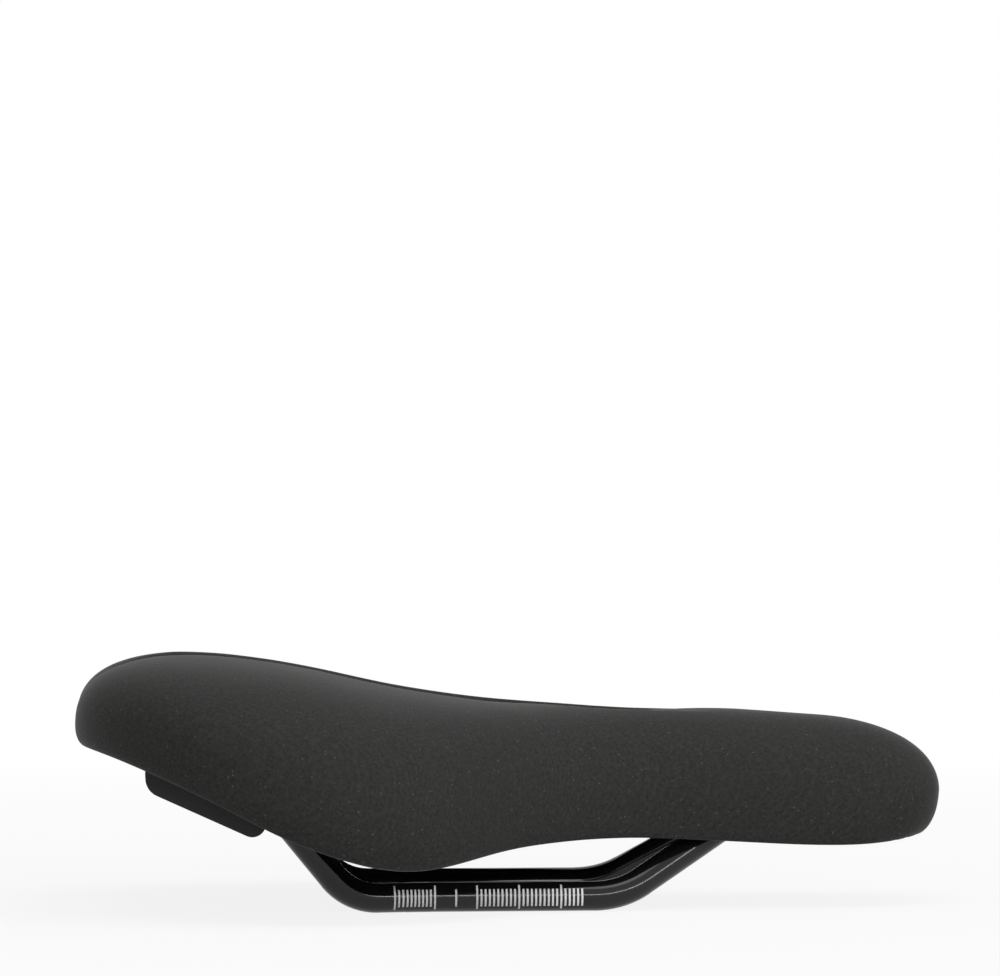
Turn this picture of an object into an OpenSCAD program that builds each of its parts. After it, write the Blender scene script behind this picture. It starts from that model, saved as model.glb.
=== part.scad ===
// Junior bicycle saddle: a soft cover over foam on a moulded base, carried by one bent steel rail.
// X runs from the tail to the nose, Y across and Z up. The rail's clamp runs lie on Z = 0,
// and the origin is under the middle of the length.

/* [Overall form] */
// Length from the tail to the tip of the nose
saddle_l = 210; // [190:1:260]
// Width across the wings
saddle_w = 128; // [118:1:160]
// Width across the sides of the nose
nose_w = 46; // [43:1:56]
// How far the tail is notched in at the middle
tail_notch = 2.2; // [0:0.1:4]

/* [Side profile] */
// Height of the crown line over the humps
hump_z = 62; // [58:0.5:75]
// Height of the crown line at mid-length, where the rider sits forward
dip_z = 49.5; // [47:0.5:60]
// Height of the crown line at the nose
nose_z = 45.5; // [44:0.5:55]
// Height of the lower edge at the tail
tail_edge_z = 39.6; // [35:0.1:46]
// Height of the lower edge where the wings hang lowest
wing_edge_z = 11.9; // [10:0.1:20]
// Height of the lower edge behind the nose, over the front legs of the rail
waist_edge_z = 17.4; // [14:0.1:20]
// Height of the lower edge along the nose
nose_edge_z = 14.9; // [12:0.1:18]

/* [Relief channel] */
// Depth of the channel down the middle
channel_d = 3.4; // [1:0.1:4.5]
// Width of the channel between the humps, across the tops of its walls
channel_w = 25; // [18:0.5:30]
// Width of each sloped wall of the channel
channel_wall = 6; // [4:0.5:8]

/* [Layers] */
// Thickness of the cover
cover_t = 1.5; // [0.8:0.1:2]
// Thickness of the foam over the crown
foam_t = 11.5; // [8:0.5:14]
// Thickness of the base shell
base_t = 2.4; // [1.8:0.1:3]
// Width of the ledge round the base under the wings
ledge_w = 4; // [2:0.5:6]
// Clearance between one layer and the next
layer_gap = 0.25; // [0.2:0.05:0.4]

/* [Rail] */
// Diameter of the rail wire
wire_d = 7; // [6:0.5:8]
// Distance between the two clamp runs, centre to centre
rail_spacing = 44; // [40:0.5:48]
// Length of each straight clamp run, between the corners of its bends
clamp_run = 64.5; // [56:0.5:72]
// Place of the front corner of the clamp runs
front_corner_x = 24.7; // [20:0.1:30]
// Distance from the tail of the saddle to the rear ends of the wire
tail_room = 23.5; // [20:0.5:28]
// Distance from the tip of the nose to the front bend of the wire
nose_room = 37; // [32:0.5:42]
// Height of the wire's centre line at its rear ends
wire_end_z = 35; // [33:0.5:36]
// Inner clearance of the sockets round the wire
socket_gap = 0.2; // [0.1:0.05:0.4]
// Wall of the rear sockets under the wire
socket_wall = 4; // [2.5:0.5:5]
// Wall of the rear sockets beside the wire
socket_side = 3; // [2:0.5:4]

/* [Ribs] */
// Depth of the ribs under the base
rib_h = 4; // [2:0.5:4.5]
// Thickness of the ribs
rib_t = 1.8; // [1.2:0.1:2.4]

/* [Hidden] */
$fn = 32;

half_l = saddle_l / 2;
wire_r = wire_d / 2;

// Plan outline, from the middle of the tail round one side to the tip of the nose. Each point
// is a share of the length and a share of a half width: of the wings at the tail, of the step
// from nose to wings along the flank, and of the nose at the tip.
tail_form = [[0, 0.297], [0.017, 0.542], [0.065, 0.751], [0.139, 0.908], [0.222, 0.982], [0.292, 1]];
flank_form = [
    [0.361, 0.927], [0.431, 0.713], [0.5, 0.395], [0.569, 0.165], [0.648, 0.049], [0.769, 0.007]
];
tip_form = [[0.889, 0.962], [0.949, 0.857], [0.979, 0.67], [0.9955, 0.42], [1, 0]];
half_outline = concat(
    [[tail_notch - half_l, 0]],
    [for (p = tail_form) [p[0] * saddle_l - half_l, p[1] * saddle_w / 2]],
    [for (p = flank_form) [p[0] * saddle_l - half_l, (nose_w + p[1] * (saddle_w - nose_w)) / 2]],
    [for (p = tip_form) [p[0] * saddle_l - half_l, p[1] * nose_w / 2]]
);
corners = len(half_outline) - 1;
outline_corners = concat(
    half_outline,
    [for (i = [1:corners - 1]) let (p = half_outline[corners - i]) [p[0], -p[1]]]);

function spline(a, b, c, d, t) =
    b + 0.5 * t * (c - a + t * (2 * a - 5 * b + 4 * c - d + t * (3 * (b - c) + d - a)));

// Points round the outline, the same number on each stretch between two corners
steps = 2;
around = steps * len(outline_corners);
function corner(i) = outline_corners[(i + len(outline_corners)) % len(outline_corners)];
outline = [for (i = [0:around - 1]) let (k = floor(i / steps))
    spline(corner(k - 1), corner(k), corner(k + 1), corner(k + 2), (i % steps) / steps)];
function unit(v) = v / norm(v);
outward = [for (i = [0:around - 1])
    let (along = unit(outline[(i + 1) % around] - outline[(i + around - 1) % around]))
    [-along[1], along[0]]];

// Heights along the saddle, at nine equal stations from the tail to the tip
crown_form = [
    hump_z + 2.2, hump_z + 0.4, hump_z - 3.5,
    dip_z + 3.4, dip_z - 0.1, dip_z - 1.3,
    nose_z + 1.8, nose_z, nose_z - 0.8
];
edge_form = [
    tail_edge_z, tail_edge_z - 9.3, wing_edge_z + 6.1,
    wing_edge_z, waist_edge_z - 1.5, waist_edge_z,
    nose_edge_z + 1.2, nose_edge_z, nose_edge_z + 1.6
];
function along_form(form, x) =
    let (last = len(form) - 1, s = max(0, min(last - 0.001, last * (x / saddle_l + 0.5))))
    let (k = floor(s))
    spline(form[max(0, k - 1)], form[k], form[k + 1], form[min(last, k + 2)], s - k);
function crown_z(x) = along_form(crown_form, x);
function edge_z(x) = along_form(edge_form, x);

function smooth(t) = let (s = max(0, min(1, t))) s * s * (3 - 2 * s);
// Share of the way into the tail, and into the tip of the nose
function in_tail(x) = smooth((-70 - x) / 35);
function in_tip(x) = smooth((x - half_l + 24) / 24);
function in_nose(x) = smooth((x + 8) / 34);

// The widest line lies this far above the lower edge, and the skirt rolls in under it
function skirt_h(x) = 8 - 3.4 * in_tail(x) + 2.8 * in_tip(x);
function roll_in(x) = 2.6 - 1.2 * in_nose(x) + 5 * in_tip(x);
function roundness(x) = 2.6 + 0.18 * in_tail(x) - 0.4 * in_nose(x);

// Depth of the channel at a point. It has a flat floor between two sloped walls, starts shallow at
// the tail, steps in ahead of the humps and fades out along the nose.
function channel_half(x) = channel_w / 2 * (1 - 0.12 * in_tail(x) - 0.42 * smooth((x + 10) / 16));
function channel_depth(x) = channel_d * (0.4 + 0.6 * smooth((x + 102) / 18)) * (1 - smooth((x - 2) / 50));
function channel(x, y) =
    channel_depth(x) * (1 - smooth((abs(y) - channel_half(x) + channel_wall) / channel_wall));

// Ring of the crown: share e of the way from the spine line to the outline moved in by inset[i].
// It starts drop under the crown line and comes down to floor_z[i] at the outline. The channel
// is cut to the share groove of its depth, so that the base under the foam has none.
spine_tail = -50;
spine_nose = half_l - 31;
function crown_ring(inset, drop, floor_z, e, groove = 1) = [for (i = [0:around - 1])
    let (rim = outline[i] - inset[i] * outward[i],
        share = outline[i][0] / saddle_l + 0.5,
        spine = [spine_tail + share * (spine_nose - spine_tail), 0],
        p = spine + e * (rim - spine),
        n = roundness(outline[i][0]),
        top = crown_z(p[0]) - groove * channel(p[0], p[1]) - drop)
    [p[0], p[1], floor_z[i] + (top - floor_z[i]) * pow(max(0, 1 - pow(e, n)), 1 / n)]];
// Ring round the edge, with its own inset and height at each point
function edge_ring(inset, z) = [for (i = [0:around - 1])
    let (p = outline[i] - inset[i] * outward[i]) [p[0], p[1], z[i]]];

fine_shares = [
    0.04, 0.09, 0.13, 0.17, 0.21, 0.27, 0.36, 0.48, 0.6, 0.71, 0.8, 0.88, 0.94, 0.98, 0.997, 1
];
lining_shares = [0.05, 0.1, 0.15, 0.21, 0.3, 0.46, 0.62, 0.77, 0.88, 0.95, 0.99, 1];
coarse_shares = [0.1, 0.25, 0.42, 0.6, 0.75, 0.86, 0.94, 0.985, 1];
function reversed(list) = [for (i = [len(list) - 1:-1:0]) list[i]];
function level(value) = [for (i = [0:around - 1]) value];

// Solid skin through a row of rings, which starts and ends in a strip across the spine line.
// From the ring numbered turn on, its facets are split the other way, so that they lie along
// the facets of the layer that faces them.
module skin(rings, turn) {
    last = len(rings) - 1;
    mid = around / 2;
    function at(k, i) = k * around + (i + around) % around;
    walls = [for (k = [0:last - 1], i = [0:around - 1]) k < turn
        ? [at(k + 1, i), at(k + 1, i + 1), at(k, i + 1), at(k, i)]
        : [at(k, i), at(k + 1, i), at(k + 1, i + 1), at(k, i + 1)]];
    function strip(k) = concat(
        [[at(k, 0), at(k, 1), at(k, -1)]],
        [for (i = [1:mid - 2]) [at(k, i), at(k, i + 1), at(k, -i - 1), at(k, -i)]],
        [[at(k, mid - 1), at(k, mid), at(k, mid + 1)]]);
    polyhedron(
        points = [for (ring = rings) each ring],
        faces = concat(walls, strip(0), [for (face = strip(last)) reversed(face)]));
}

// Lines that the layers share, one value for each point of the outline
low_z = [for (p = outline) edge_z(p[0])];
widest_z = [for (i = [0:around - 1]) low_z[i] + skirt_h(outline[i][0])];
roll = [for (p = outline) roll_in(p[0])];
ledge_in = [for (r = roll) r + cover_t + layer_gap];
nose_ledge = 0.4;
wall_in = [for (i = [0:around - 1])
    ledge_in[i] + nose_ledge + (ledge_w - nose_ledge) * (1 - in_nose(outline[i][0]))];
inner_in = [for (w = wall_in) w + base_t];
ledge_low_z = [for (z = low_z) z + cover_t + layer_gap];
ledge_top_z = [for (z = ledge_low_z) z + base_t];
foam_low_z = [for (z = ledge_top_z) z + layer_gap];
base_drop = cover_t + foam_t + 2 * layer_gap;
lip_in = [for (w = inner_in) w + layer_gap];
// Half width of the room inside the turned-in edge, against X
room_edge = [for (i = [1:around / 2 - 1])
    let (p = outline[i] - lip_in[i] * outward[i]) [p[0], p[1]]];

// Skirt of a layer: from the widest line down and in, turned by angle at each point
function skirt_ring(inset, depth, angle) = edge_ring(
    [for (i = [0:around - 1]) inset + roll[i] * (1 - cos(angle[i]))],
    [for (i = [0:around - 1]) widest_z[i] - (widest_z[i] - low_z[i] - depth) * sin(angle[i])]);

// Cover, one skin that wraps the foam and turns in under the ledge of the base
module cover() {
    color([0.2, 0.2, 0.195])
    skin(concat(
        [for (e = fine_shares) crown_ring(level(0), 0, widest_z, e)],
        [for (angle = [25, 50, 72, 90]) skirt_ring(0, 0, level(angle))],
        [edge_ring(inner_in, low_z)],
        [edge_ring(inner_in, low_z + level(cover_t))],
        [for (angle = [90:-15:15]) skirt_ring(cover_t, cover_t, level(angle))],
        [for (e = reversed(lining_shares)) crown_ring(level(cover_t), cover_t, widest_z, e)]),
        turn = len(fine_shares) + 5);
}

// Foam, which fills the space between the cover and the base
module padding() {
    inset = cover_t + layer_gap;
    inner = wall_in - level(layer_gap);
    sweep = [for (i = [0:around - 1])
        asin((widest_z[i] - foam_low_z[i]) / (widest_z[i] - low_z[i] - cover_t))];
    color([0.75, 0.72, 0.6])
    skin(concat(
        [for (e = lining_shares) crown_ring(level(inset), inset, widest_z, e)],
        [for (share = [0.33, 0.67, 1]) skirt_ring(inset, cover_t, share * sweep)],
        [for (e = reversed(coarse_shares)) crown_ring(inner, base_drop - layer_gap, foam_low_z, e, 0)]),
        turn = len(lining_shares) + 2);
}

// Base shell without its sockets: a deep pan with a ledge round it
module pan() {
    skin(concat(
        [for (e = coarse_shares) crown_ring(wall_in, base_drop, ledge_top_z, e, 0)],
        [edge_ring(ledge_in, ledge_top_z)],
        [edge_ring(ledge_in, ledge_low_z)],
        [for (e = reversed(coarse_shares)) crown_ring(inner_in, base_drop + base_t, ledge_low_z, e, 0)]),
        turn = len(coarse_shares) + 2);
}

// Room under the pan, from the middle of its wall down past the rail. Under the ledge it keeps
// clear of the edge that the cover turns in.
bottom_z = -10;
module under_pan() {
    half_wall = wall_in + level(base_t / 2);
    step_z = ledge_low_z + level(base_t / 2);
    skin(concat(
        [for (e = coarse_shares) crown_ring(half_wall, base_drop + base_t / 2, step_z, e, 0)],
        [edge_ring(lip_in, step_z)],
        [edge_ring(lip_in, level(bottom_z))],
        [for (e = [0.6, 0.1])
            [for (p = crown_ring(lip_in, 0, ledge_low_z, e)) [p[0], p[1], bottom_z]]]),
        turn = 0);
}

// Route of the rail wire: corner points of one side from the socket to the nose, with the bend
// radius at each, then the other side back. Behind the clamp runs the wire flares out to where
// the rear socket, with its wall, lies against the room that the cover leaves. In front it leans
// in, so that it passes the cover's edge with leg_room to spare.
rail_y = rail_spacing / 2;
bend_x = half_l - nose_room;
end_x = tail_room - half_l;
flare_l = 16;
rear_leg_l = 16.2;
rear_leg_h = 19.9;
front_leg_h = 17.6;
nose_run_l = 14;
nose_run_h = 2.3;
socket_back = 5.5;
socket_room = 1.3;
leg_room = 1.3;
leg_l = bend_x - nose_run_l - front_corner_x;
pass_share = (nose_edge_z + cover_t + layer_gap - wire_r) / front_leg_h;
pass_y = lookup(front_corner_x + pass_share * leg_l, room_edge) - leg_room - 1.3 * wire_r;
bend_y = rail_y - (rail_y - pass_y) / pass_share;
flare = lookup(end_x - socket_back, room_edge) - socket_room - socket_side - wire_r - rail_y;
rear_corner_x = front_corner_x - clamp_run;
side_route = [
    [[end_x, rail_y + flare, wire_end_z], 0],
    [[rear_corner_x - rear_leg_l, rail_y + 0.85 * flare, wire_r + rear_leg_h], 14],
    [[rear_corner_x, rail_y + flare / 3, wire_r], 14],
    [[rear_corner_x + flare_l, rail_y, wire_r], 40],
    [[front_corner_x, rail_y, wire_r], 19],
    [[bend_x - nose_run_l, bend_y, wire_r + front_leg_h], 18],
    [[bend_x, bend_y, wire_r + front_leg_h + nose_run_h], 8]
];
route = concat(
    [for (s = side_route) s[0]],
    [for (s = reversed(side_route)) [s[0][0], -s[0][1], s[0][2]]]);
bend_r = concat([for (s = side_route) s[1]], [for (s = reversed(side_route)) s[1]]);
ends = len(route) - 1;
function run_dir(k) = unit(route[k + 1] - route[k]);
function bend_angle(k) = k == 0 || k == ends ? 0 : acos(min(1, run_dir(k - 1) * run_dir(k)));
function trim(k) = bend_r[k] * tan(bend_angle(k) / 2);

// Puts what it holds at a point with its own X and Y axes
module placed(at, x_axis, y_axis) {
    z_axis = cross(x_axis, y_axis);
    multmatrix([for (i = [0:2]) [x_axis[i], y_axis[i], z_axis[i], at[i]]]) children();
}

// Each straight run reaches a little into the bends beside it, which are a hair thicker
bend_lap = 0.4;
bend_swell = 0.03;
module wire(radius) {
    for (k = [0:ends - 1]) {
        dir = run_dir(k);
        from = route[k] + (trim(k) - (k > 0 ? bend_lap : 0)) * dir;
        to = route[k + 1] - (trim(k + 1) - (k < ends - 1 ? bend_lap : 0)) * dir;
        upright = unit(cross(dir, [0, 1, 0.3]));
        placed(from, upright, cross(dir, upright)) cylinder(h = norm(to - from), r = radius);
    }
    for (k = [1:ends - 1]) {
        half = bend_angle(k) / 2;
        centre = route[k] + bend_r[k] / cos(half) * unit(run_dir(k) - run_dir(k - 1));
        start = route[k] - trim(k) * run_dir(k - 1);
        placed(centre, unit(start - centre), run_dir(k - 1))
        rotate_extrude(angle = 2 * half) translate([bend_r[k], 0]) circle(r = radius + bend_swell);
    }
}

// Rail, one steel wire bent round the nose, with its two ends in the rear sockets
module rail() {
    color([0.09, 0.09, 0.1]) wire(wire_r);
}

// Round bar across the saddle, hung from the pan by a web of the same thickness
module hung_bar(at, r, width) {
    hull() for (z = [0, hang_h]) translate(at + [0, 0, z])
        rotate([90, 0, 0]) cylinder(h = width, r = r, center = true);
}

// Rear socket: a rounded block along the last run of the wire, which ends mouth_in short of its bend
hang_h = 30;
module rear_socket() {
    axis = run_dir(0);
    down = unit([axis[2], 0, -axis[0]]);
    width = wire_d + 2 * socket_side;
    tail_r = 4.5;
    front_r = 3.2;
    mouth_in = 6;
    hull() {
        hung_bar(route[0] - axis + (wire_r + socket_wall - tail_r) * down, tail_r, width);
        hung_bar(route[1] - mouth_in * axis + (wire_r + socket_wall - front_r) * down, front_r, width);
    }
}

// Nose cup, which takes the bend of the wire from behind
cup_wall = 2.4;
cup_l = 12;
module nose_cup() {
    bend = side_route[len(side_route) - 1][0];
    corner_r = 4;
    side = bend_y + wire_r + cup_wall - corner_r;
    front = bend[0] + wire_r + cup_wall - corner_r;
    hull() for (x = [bend[0] - cup_l + corner_r, front], y = [-side, side])
        translate([x, y, bend[2] - wire_r - cup_wall]) cylinder(h = hang_h, r = corner_r);
}

// Ribs under the pan: two along the waist into the nose cup, and cross ribs between them and the
// sockets. Their lower edges lie rib_h under the crown of the pan.
rib_y = 7;
rib_rear = end_x + 18;
rib_stations = 12;
function rib_low(x) = crown_z(x) - base_drop - base_t - rib_h;
module long_rib(y) {
    front = bend_x - cup_l + 2;
    low_edge = [for (i = [0:rib_stations])
        let (x = rib_rear + (front - rib_rear) * i / rib_stations) [x, rib_low(x)]];
    top = rib_low(rib_rear) + hang_h;
    translate([0, y + rib_t / 2, 0]) rotate([90, 0, 0]) linear_extrude(rib_t)
        polygon(concat(low_edge, [[front, top], [rib_rear, top]]));
}
module cross_rib(x, half) {
    translate([x - rib_t / 2, -half, rib_low(x)]) cube([rib_t, 2 * half, hang_h]);
}
module ribs() {
    for (y = [-rib_y, rib_y]) long_rib(y);
    cross_rib(rib_rear, rail_y);
    for (share = [0.25, 0.5]) cross_rib(rib_rear + share * (bend_x - rib_rear), rail_y);
}

module base_shell() {
    color([0.13, 0.13, 0.135])
    difference() {
        union() {
            pan();
            intersection() {
                under_pan();
                union() {
                    rear_socket();
                    mirror([0, 1, 0]) rear_socket();
                    nose_cup();
                    ribs();
                }
            }
        }
        wire(wire_r + socket_gap);
    }
}

cover();
padding();
base_shell();
rail();
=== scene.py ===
import math

import bpy
import numpy as np
from mathutils import Matrix, Vector


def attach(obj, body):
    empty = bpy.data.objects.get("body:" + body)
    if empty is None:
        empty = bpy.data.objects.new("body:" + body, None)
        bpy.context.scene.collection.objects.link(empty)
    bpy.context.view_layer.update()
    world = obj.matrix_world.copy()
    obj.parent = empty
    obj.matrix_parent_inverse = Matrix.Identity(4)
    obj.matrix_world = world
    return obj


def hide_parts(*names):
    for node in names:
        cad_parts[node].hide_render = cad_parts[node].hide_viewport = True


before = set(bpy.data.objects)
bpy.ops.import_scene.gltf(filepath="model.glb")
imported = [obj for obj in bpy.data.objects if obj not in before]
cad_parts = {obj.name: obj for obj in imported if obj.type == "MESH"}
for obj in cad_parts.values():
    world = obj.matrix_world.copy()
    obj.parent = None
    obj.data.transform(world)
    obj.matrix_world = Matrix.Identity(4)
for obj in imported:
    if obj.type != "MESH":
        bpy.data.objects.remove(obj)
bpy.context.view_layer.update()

# The camera stands level beside the saddle, turned a little towards the nose, at the height and
# distance that the printed millimetre scale on the rail gives. The picture frame is shifted down.
camera_data = bpy.data.cameras.new("side_camera")
camera_data.sensor_width = 36
camera_data.lens = 151.3
camera_data.shift_y = 0.0603
camera_data.clip_end = 20
camera = bpy.data.objects.new("side_camera", camera_data)
camera.location = (-0.092, -1.016, 0.0862)
camera.rotation_euler = (math.radians(90), 0, math.radians(-5.05))
bpy.context.scene.collection.objects.link(camera)
bpy.context.scene.camera = camera
bpy.context.scene.view_settings.view_transform = "Standard"


# The studio is a plain white table in an even white room. A long low softbox in front gives most of
# the light and draws the line along the rail, with a weaker lamp overhead and one beside the nose.
def node_in(tree, kind, **settings):
    """A new node. A setting with no such property is the value of the input of that name."""
    made = tree.nodes.new(kind)
    for name, value in settings.items():
        if hasattr(made, name):
            setattr(made, name, value)
        else:
            made.inputs[name.replace("_", " ")].default_value = value
    return made


def math_of(tree, operation, first, second):
    """The result of a sum on two values, each given as a number or as a socket."""
    node = node_in(tree, "ShaderNodeMath", operation=operation)
    for socket, value in zip(node.inputs, (first, second)):
        if isinstance(value, (int, float)):
            socket.default_value = value
        else:
            tree.links.new(value, socket)
    return node.outputs[0]


def ramp_of(tree, value, source, target):
    """A value carried from the range source to the range target, and held at its ends."""
    node = node_in(
        tree, "ShaderNodeMapRange",
        From_Min=source[0], From_Max=source[1], To_Min=target[0], To_Max=target[1])
    tree.links.new(value, node.inputs["Value"])
    return node.outputs["Result"]


def only_seen(tree):
    """1 for what the camera, a reflection or a clear piece looks at, and 0 for plain light."""
    path = node_in(tree, "ShaderNodeLightPath")
    seen = path.outputs["Is Camera Ray"]
    for name in ("Is Glossy Ray", "Is Transmission Ray"):
        seen = math_of(tree, "MAXIMUM", seen, path.outputs[name])
    return seen


def soft_lamp(name, place, aim, size, watts):
    """An area lamp at a place, turned to shine at its aim."""
    data = bpy.data.lights.new(name, "AREA")
    data.shape = "RECTANGLE"
    data.size, data.size_y = size
    data.energy = watts
    lamp = bpy.data.objects.new(name, data)
    lamp.location = place
    lamp.rotation_euler = (Vector(aim) - Vector(place)).to_track_quat("-Z", "Y").to_euler()
    bpy.context.scene.collection.objects.link(lamp)


soft_lamp("front_softbox", place=(0.8, -1.4, 0.44), aim=(0.02, 0, 0.02), size=(1.9, 0.08), watts=9.5)
soft_lamp("overhead_lamp", place=(0.15, -0.35, 1.5), aim=(0, 0, 0.03), size=(1.6, 0.9), watts=11)
soft_lamp("nose_lamp", place=(1.3, -0.5, 0.6), aim=(0.05, 0, 0.03), size=(0.8, 0.6), watts=3)

pure_white = (1, 1, 1, 1)
room_light = 0.3
room = bpy.data.worlds.new("white_room")
room.use_nodes = True
bpy.context.scene.world = room
tree = room.node_tree
background = tree.nodes["Background"]
background.inputs["Color"].default_value = pure_white
tree.links.new(ramp_of(tree, only_seen(tree), (0, 1), (room_light, 1.0)), background.inputs["Strength"])

# The table is lit plainly, and what is seen of it also glows. The glow is a little weaker close to the
# saddle, which keeps the shadow there. From below the table is clear.
table_size = 12
table_colour = (0.82, 0.82, 0.82, 1)
shadow_ends = (0.12, 0.7)
glow_near_and_far = (0.86, 1.0)
bpy.ops.object.select_all(action="DESELECT")
bpy.ops.mesh.primitive_plane_add(size=table_size, location=(0, 0, 0))
table_top = bpy.context.active_object
table_top.name = "table_top"
white_table = bpy.data.materials.new("white_table")
white_table.use_nodes = True
tree = white_table.node_tree
table_shader = tree.nodes["Principled BSDF"]
table_shader.inputs["Base Color"].default_value = table_colour
table_shader.inputs["Roughness"].default_value = 0.9
table_shader.inputs["Specular IOR Level"].default_value = 0.1
glow = node_in(tree, "ShaderNodeEmission")
glow.inputs["Color"].default_value = pure_white
away = node_in(tree, "ShaderNodeVectorMath", operation="LENGTH")
tree.links.new(node_in(tree, "ShaderNodeTexCoord").outputs["Object"], away.inputs[0])
whiter = ramp_of(tree, away.outputs["Value"], shadow_ends, glow_near_and_far)
glowing = node_in(tree, "ShaderNodeMixShader")
tree.links.new(math_of(tree, "MULTIPLY", only_seen(tree), whiter), glowing.inputs["Fac"])
tree.links.new(table_shader.outputs[0], glowing.inputs[1])
tree.links.new(glow.outputs[0], glowing.inputs[2])
one_sided = node_in(tree, "ShaderNodeMixShader")
tree.links.new(node_in(tree, "ShaderNodeNewGeometry").outputs["Backfacing"], one_sided.inputs["Fac"])
tree.links.new(glowing.outputs[0], one_sided.inputs[1])
tree.links.new(node_in(tree, "ShaderNodeBsdfTransparent").outputs[0], one_sided.inputs[2])
tree.links.new(one_sided.outputs[0], tree.nodes["Material Output"].inputs["Surface"])
table_top.data.materials.append(white_table)


# Cover. The real one is a single soft-touch skin, about 1.5 mm thick, moulded round the foam with no
# seam on top and turned in under the edge of the base, with small folds round the nose and the tail.
def value_socket(group, name, way, value=None, kind="NodeSocketFloat"):
    socket = group.interface.new_socket(name=name, in_out=way, socket_type=kind)
    if value is not None:
        socket.default_value = value


def made_of(piece, material):
    piece.data.materials.clear()
    piece.data.materials.append(material)


def plain_material(name, colour, roughness):
    """A material with its shader, and the object coordinates that its patterns read."""
    material = bpy.data.materials.new(name)
    material.use_nodes = True
    shader = material.node_tree.nodes["Principled BSDF"]
    shader.inputs["Base Color"].default_value = (*colour, 1)
    shader.inputs["Roughness"].default_value = roughness
    coords = node_in(material.node_tree, "ShaderNodeTexCoord")
    return material, shader, coords.outputs["Object"]


def fine_grain_group():
    """Leather-like cells with soft noise over them: a height, and a tone from 0 to 1."""
    group = bpy.data.node_groups.new("fine_grain", "ShaderNodeTree")
    value_socket(group, "Place", "INPUT", kind="NodeSocketVector")
    value_socket(group, "Cells per metre", "INPUT", 1500)
    value_socket(group, "Cell share", "INPUT", 0.6)
    value_socket(group, "Patches per metre", "INPUT", 40)
    value_socket(group, "Height", "OUTPUT")
    value_socket(group, "Tone", "OUTPUT")
    start, end = node_in(group, "NodeGroupInput"), node_in(group, "NodeGroupOutput")
    cells = node_in(group, "ShaderNodeTexVoronoi", feature="SMOOTH_F1", Smoothness=0.6)
    noise = node_in(group, "ShaderNodeTexNoise", Detail=3, Roughness=0.6)
    patches = node_in(group, "ShaderNodeTexNoise", Detail=4, Roughness=0.55)
    scales = {cells: "Cells per metre", noise: "Cells per metre", patches: "Patches per metre"}
    for texture, scale in scales.items():
        group.links.new(start.outputs["Place"], texture.inputs["Vector"])
        group.links.new(start.outputs[scale], texture.inputs["Scale"])
    both = node_in(group, "ShaderNodeMix", data_type="FLOAT")
    group.links.new(start.outputs["Cell share"], both.inputs["Factor"])
    group.links.new(noise.outputs["Fac"], both.inputs["A"])
    group.links.new(cells.outputs["Distance"], both.inputs["B"])
    group.links.new(both.outputs["Result"], end.inputs["Height"])
    group.links.new(patches.outputs["Fac"], end.inputs["Tone"])
    return group


fine_grain = fine_grain_group()


def grained(material, place, cells, cell_share, patches):
    """The fine grain group placed in a material, with its own values."""
    node = node_in(material.node_tree, "ShaderNodeGroup", node_tree=fine_grain)
    node.inputs["Cells per metre"].default_value = cells
    node.inputs["Cell share"].default_value = cell_share
    node.inputs["Patches per metre"].default_value = patches
    material.node_tree.links.new(place, node.inputs["Place"])
    return node


def bumped(material, shader, height, depth, strength):
    """Bump of that depth in metres on the shader."""
    bump = node_in(material.node_tree, "ShaderNodeBump", Distance=depth, Strength=strength)
    material.node_tree.links.new(height, bump.inputs["Height"])
    material.node_tree.links.new(bump.outputs["Normal"], shader.inputs["Normal"])


def mixed_colour(tree, share, first, second):
    """A mix of two colours, each given as a tuple or as a socket."""
    node = node_in(tree, "ShaderNodeMix", data_type="RGBA")
    tree.links.new(share, node.inputs["Factor"])
    for socket, colour in zip((node.inputs[6], node.inputs[7]), (first, second)):
        if isinstance(colour, tuple):
            socket.default_value = (*colour, 1)
        else:
            tree.links.new(colour, socket)
    return node.outputs[2]


def toned(material, shader, grain, tones, dark, pale):
    """Takes the base colour from dark to pale, in soft patches, where the grain's tone spans tones."""
    share = ramp_of(material.node_tree, grain.outputs["Tone"], tones, (0, 1))
    material.node_tree.links.new(mixed_colour(material.node_tree, share, dark, pale), shader.inputs["Base Color"])


def roughened(material, shader, grain, tones, roughness):
    """Takes the roughness through its range in the same patches."""
    material.node_tree.links.new(
        ramp_of(material.node_tree, grain.outputs["Tone"], tones, roughness), shader.inputs["Roughness"])


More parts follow.
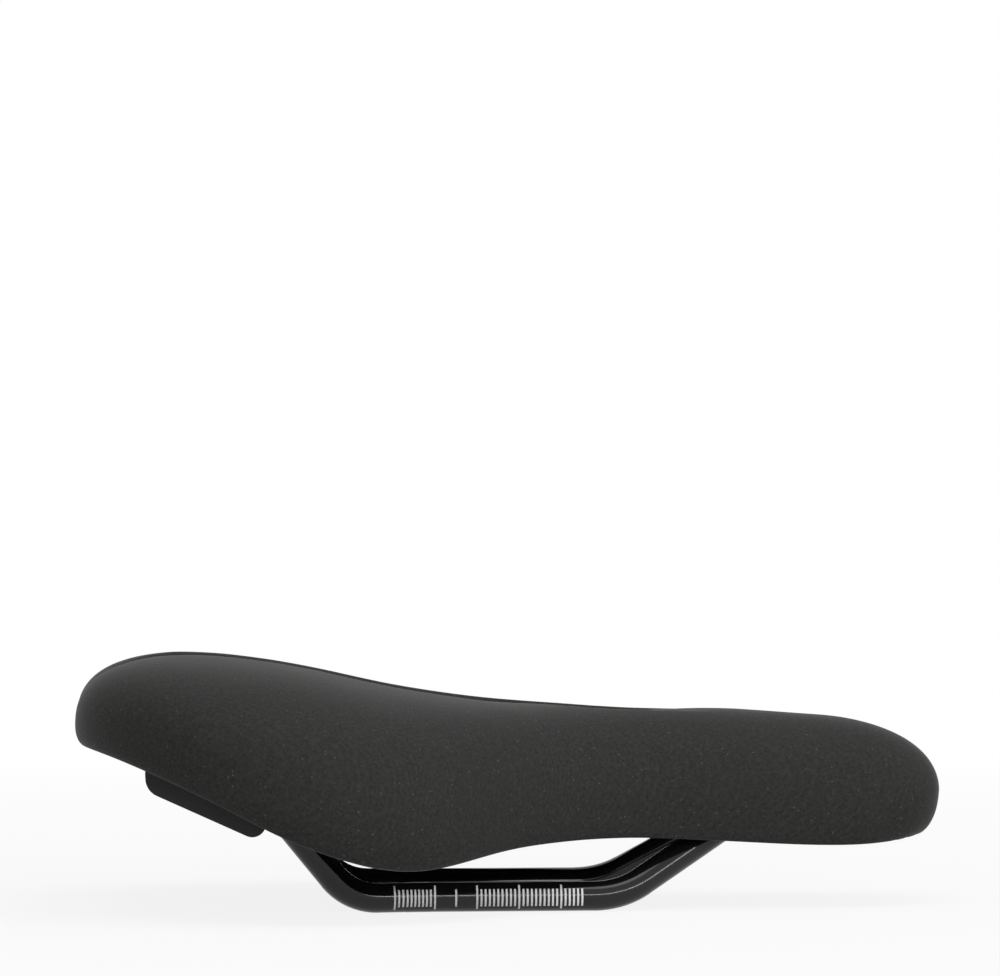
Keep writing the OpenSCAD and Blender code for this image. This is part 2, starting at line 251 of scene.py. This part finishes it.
def soft_touch_skin():
    """Matt black polyurethane: fine grain, a faint diagonal weave pressed in, sparse pale specks."""
    grain_dark, grain_pale, speck_pale = (0.0105, 0.0105, 0.01), (0.03, 0.03, 0.0287), (0.34, 0.34, 0.32)
    weave_share, patch_share, speck_share = 0.07, 0.3, 0.2
    material, shader, place = plain_material("soft_touch_skin", (0.015, 0.015, 0.0145), 0.62)
    tree = material.node_tree
    grain = grained(material, place, cells=1400, cell_share=0.35, patches=26)

    turned = node_in(tree, "ShaderNodeMapping", Rotation=(0.35, 0.2, math.radians(-76)))
    tree.links.new(place, turned.inputs["Vector"])
    weave = node_in(
        tree, "ShaderNodeTexWave", wave_type="BANDS", bands_direction="X", Scale=380, Distortion=2.5, Detail=2)
    tree.links.new(turned.outputs["Vector"], weave.inputs["Vector"])
    woven = math_of(tree, "MULTIPLY", weave.outputs["Fac"], weave_share)
    relief = math_of(tree, "ADD", grain.outputs["Height"], woven)

    specks = node_in(tree, "ShaderNodeTexVoronoi", Scale=950)
    tree.links.new(place, specks.inputs["Vector"])
    apart = node_in(tree, "ShaderNodeSeparateColor")
    tree.links.new(specks.outputs["Color"], apart.inputs["Color"])
    chosen = ramp_of(tree, apart.outputs["Red"], (0.74, 1.0), (0, 1))
    near = ramp_of(tree, specks.outputs["Distance"], (0.1, 0.26), (1, 0))
    speck = math_of(tree, "MULTIPLY", math_of(tree, "MULTIPLY", chosen, near), speck_share)

    patchy = math_of(tree, "ADD", relief, math_of(tree, "MULTIPLY", grain.outputs["Tone"], patch_share))
    base = mixed_colour(tree, ramp_of(tree, patchy, (0.46, 0.92), (0, 1)), grain_dark, grain_pale)
    tree.links.new(mixed_colour(tree, speck, base, speck_pale), shader.inputs["Base Color"])
    roughened(material, shader, grain, (0.3, 0.75), (0.64, 0.74))
    bumped(material, shader, relief, depth=0.00008, strength=0.6)
    shader.inputs["Specular IOR Level"].default_value = 0.16
    shader.inputs["Sheen Weight"].default_value = 0.08
    shader.inputs["Sheen Roughness"].default_value = 0.35
    return material


def soft_copy(node, name, levels):
    """A CAD soft solid copied as quads and subdivided, as the start of a padded piece."""
    bpy.ops.object.select_all(action="DESELECT")
    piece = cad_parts[node].copy()
    piece.data = piece.data.copy()
    piece.name = piece.data.name = name
    piece.parent = None
    for key in list(piece.keys()):
        del piece[key]
    bpy.context.scene.collection.objects.link(piece)
    piece.select_set(True)
    bpy.context.view_layer.objects.active = piece
    bpy.ops.object.mode_set(mode="EDIT")
    bpy.ops.mesh.select_all(action="SELECT")
    bpy.ops.mesh.remove_doubles(threshold=0.00001)
    bpy.ops.mesh.tris_convert_to_quads(face_threshold=math.radians(60), shape_threshold=math.radians(120))
    bpy.ops.object.mode_set(mode="OBJECT")
    bpy.ops.mesh.customdata_custom_splitnormals_clear()
    smoother = piece.modifiers.new("smoother", "SUBSURF")
    smoother.levels = smoother.render_levels = levels
    bpy.ops.object.modifier_apply(modifier=smoother.name)
    bpy.ops.object.shade_smooth()
    return piece


def rise(value, start, length):
    """0 up to the start and 1 from start + length on, with a smooth step between."""
    t = np.clip((value - start) / length, 0, 1)
    return t * t * (3 - 2 * t)


def rows_of(piece, kind):
    """The places ("co") or the facings ("normal") of a piece's vertices, one row for each."""
    rows = np.empty(len(piece.data.vertices) * 3)
    piece.data.vertices.foreach_get(kind, rows)
    return rows.reshape(-1, 3)


def raised(piece, heights):
    """Moves each vertex up by its own height."""
    rows = rows_of(piece, "co")
    rows[:, 2] += heights
    piece.data.vertices.foreach_set("co", rows.ravel())
    piece.data.update()


def groove(y, half, wall, depth):
    """How deep a flat-floored channel of that half width, wall and depth lies at each y."""
    return depth * (1 - rise(np.abs(y), half - wall, wall))


channel_depth = 0.0034
hump_height = 0.03


def crease_channel(piece):
    """Presses the channel of a padded piece from the soft form of the CAD solid to its real creases.

    Both forms narrow a little at the tail and much at the step in the middle, and run out at each end.
    The soft one repeats the channel of the part's source.
    """
    x, y, z = rows_of(piece, "co").T
    tail = rise(-x, 0.07, 0.035)
    step = rise(x, -0.01, 0.016)
    soft_half = 0.0125 * (1 - 0.12 * tail - 0.42 * step)
    soft_depth = channel_depth * (0.4 + 0.6 * rise(x, -0.102, 0.018)) * (1 - rise(x, 0.002, 0.05))
    creased_half = 0.0133 - 0.0018 * tail - 0.0048 * rise(x, -0.008, 0.013) - 0.0012 * rise(x, 0.006, 0.05)
    creased_depth = channel_depth * (0.25 + 0.75 * rise(x, -0.1, 0.02)) * (1 - rise(x, 0.004, 0.05))
    soft = groove(y, soft_half, 0.006, soft_depth)
    creased = groove(y, creased_half, 0.0038 - 0.0006 * step, creased_depth)
    raised(piece, (soft - creased) * rise(z, hump_height, 0.004))


fold_depth = 0.0004
edge_height = 0.006
column_width = 0.004
sector_width = math.radians(3)
# The x of the point that the edge turns round, the way that it faces, the folds in a full turn, and the
# x from which they begin: for the nose and for the tail.
nose_and_tail = ((0.078, 1, 28, 0.062), (-0.055, -1, 64, -0.035))


def gather_edge(piece):
    """Presses folds into the inner part of the turned-in edge, where it is drawn round nose and tail."""
    x, y, z = rows_of(piece, "co").T
    facing_up = rows_of(piece, "normal")[:, 2]
    column = np.floor((x + 0.12) / column_width).astype(int)
    lowest = np.full(column.max() + 1, 1.0)
    np.minimum.at(lowest, column, z)
    under = rise(-facing_up, 0.5, 0.4) * (z < lowest[column] + edge_height)
    folds = np.zeros(len(x))
    for centre_x, way, count, from_x in nose_and_tail:
        along = way * (x - centre_x)
        turn, reach = np.arctan2(y, along), np.hypot(along, y)
        sector = np.floor((turn + math.pi) / sector_width).astype(int)
        furthest = np.zeros(sector.max() + 1)
        np.maximum.at(furthest, sector, reach)
        inner = rise(furthest[sector] - reach, 0.0035, 0.003)
        wave = np.sin(count * turn + 1.4 * np.sin(3 * turn + 0.5) + 0.9 * np.sin(8 * turn))
        folds += rise(way * x, way * from_x, 0.02) * inner * (0.5 - 0.5 * wave) ** 2
    raised(piece, fold_depth * under * folds)


cover = soft_copy("cover", "cover_skin", levels=2)
crease_channel(cover)
gather_edge(cover)
made_of(cover, soft_touch_skin())
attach(cover, "root")
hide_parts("cover")

# Padding. A block of moulded polyurethane foam fills the space between the cover and the base. It
# doesn't show on the whole saddle, and gives the humps and the channel their shape.
padding = soft_copy("padding", "foam_padding", levels=1)
crease_channel(padding)
open_foam, shader, place = plain_material("open_foam", (0.62, 0.58, 0.42), 0.95)
grain = grained(open_foam, place, cells=1400, cell_share=0.85, patches=60)
toned(open_foam, shader, grain, (0.3, 0.7), (0.55, 0.5, 0.34), (0.7, 0.66, 0.5))
bumped(open_foam, shader, grain.outputs["Height"], depth=0.0003, strength=0.7)
made_of(padding, open_foam)
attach(padding, "root")
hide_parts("padding")

# Base. One injection moulding in black polypropylene, with the two rear sockets, the nose cup and
# the ribs in one with the pan. Its satin face has the fine spark texture of the mould.
moulded_plastic, shader, place = plain_material("moulded_plastic", (0.0125, 0.0125, 0.013), 0.42)
grain = grained(moulded_plastic, place, cells=1700, cell_share=0.3, patches=45)
toned(moulded_plastic, shader, grain, (0.3, 0.7), (0.011, 0.011, 0.0115), (0.0155, 0.0155, 0.016))
roughened(moulded_plastic, shader, grain, (0.3, 0.7), (0.38, 0.5))
bumped(moulded_plastic, shader, grain.outputs["Height"], depth=0.00005, strength=0.35)
shader.inputs["Specular IOR Level"].default_value = 0.3
made_of(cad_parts["base_shell"], moulded_plastic)

# Rail. One 7 mm steel wire, bent cold and powder coated gloss black, with the faint waviness of the
# coat. The scale on its clamp runs is printed, one line to a millimetre and a long one at each ten.
gloss_coat, shader, place = plain_material("gloss_coat", (0.006, 0.006, 0.0062), 0.16)
grain = grained(gloss_coat, place, cells=420, cell_share=0.1, patches=30)
roughened(gloss_coat, shader, grain, (0.3, 0.75), (0.09, 0.15))
bumped(gloss_coat, shader, grain.outputs["Height"], depth=0.00004, strength=0.25)
shader.inputs["Specular IOR Level"].default_value = 0.36
made_of(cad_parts["rail"], gloss_coat)

wire_radius = 0.0035
run_half_spacing = 0.022
ink_thickness = 0.00006
line_width = 0.00044
line_step = 0.001
line_count = 46
first_line_x = -0.02986
short_span = (-35, 37)
long_span = (-50, 53)
long_every = 10
bare_lines = [i for i in range(11, 20) if i != 15]
flare_start_x = -0.02099
flare_end_x = -0.02662
flare_slope = 0.1414
flare_radius = 0.04


def run_centre(x):
    """How far out the wire's centre lies at x, and its slope there: straight, then bent, then flared."""
    back = max(0.0, flare_start_x - x)
    bent = min(back, flare_start_x - flare_end_x)
    out = bent * bent / (2 * flare_radius) + (back - bent) * flare_slope
    return run_half_spacing + out, min(bent / flare_radius, flare_slope)


def printed_line(name, span):
    """A thin line of ink round the outer face of the wire, over that span of degrees."""
    bpy.ops.object.select_all(action="DESELECT")
    bpy.ops.mesh.primitive_cylinder_add(
        vertices=72, radius=wire_radius, depth=line_width, end_fill_type="NOTHING")
    line = bpy.context.active_object
    line.name = name
    line.data.transform(Matrix.Rotation(math.radians(90), 4, "Y"))
    bpy.ops.object.mode_set(mode="EDIT")
    bpy.ops.mesh.select_all(action="DESELECT")
    bpy.ops.object.mode_set(mode="OBJECT")
    for face in line.data.polygons:
        turned = math.degrees(math.atan2(face.center.z, -face.center.y))
        face.select = not span[0] <= turned <= span[1]
    bpy.ops.object.mode_set(mode="EDIT")
    bpy.ops.mesh.delete(type="FACE")
    bpy.ops.object.mode_set(mode="OBJECT")
    film = line.modifiers.new("film", "SOLIDIFY")
    film.thickness = ink_thickness
    film.offset = 1
    bpy.ops.object.modifier_apply(modifier=film.name)
    return line


short_line = printed_line("short_line", short_span)
long_line = printed_line("long_line", long_span)
lines = []
for side in (1, -1):
    for i in range(line_count):
        if i in bare_lines:
            continue
        pattern = long_line if i % long_every == 0 else short_line
        x = first_line_x + line_step * i
        out, slope = run_centre(x)
        line = pattern.copy()
        line.data = pattern.data.copy()
        line.data.transform(
            Matrix.Translation((x, -out, wire_radius)) @ Matrix.Rotation(math.atan(slope), 4, "Z"))
        if side < 0:
            line.data.transform(Matrix.Scale(-1, 4, (0, 1, 0)))
            line.data.flip_normals()
        bpy.context.scene.collection.objects.link(line)
        lines.append(line)
bpy.ops.object.select_all(action="DESELECT")
for pattern in (short_line, long_line):
    bpy.data.objects.remove(pattern)
for line in lines:
    line.select_set(True)
bpy.context.view_layer.objects.active = lines[0]
bpy.ops.object.join()
scale_print = bpy.context.active_object
scale_print.name = scale_print.data.name = "scale_print"
white_ink, shader, place = plain_material("white_ink", (0.85, 0.85, 0.85), 0.45)
grain = grained(white_ink, place, cells=3000, cell_share=0.2, patches=1600)
toned(white_ink, shader, grain, (0.38, 0.6), (0.8, 0.8, 0.8), (0.93, 0.93, 0.93))
bumped(white_ink, shader, grain.outputs["Height"], depth=0.00001, strength=0.3)
made_of(scale_print, white_ink)
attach(scale_print, "root")
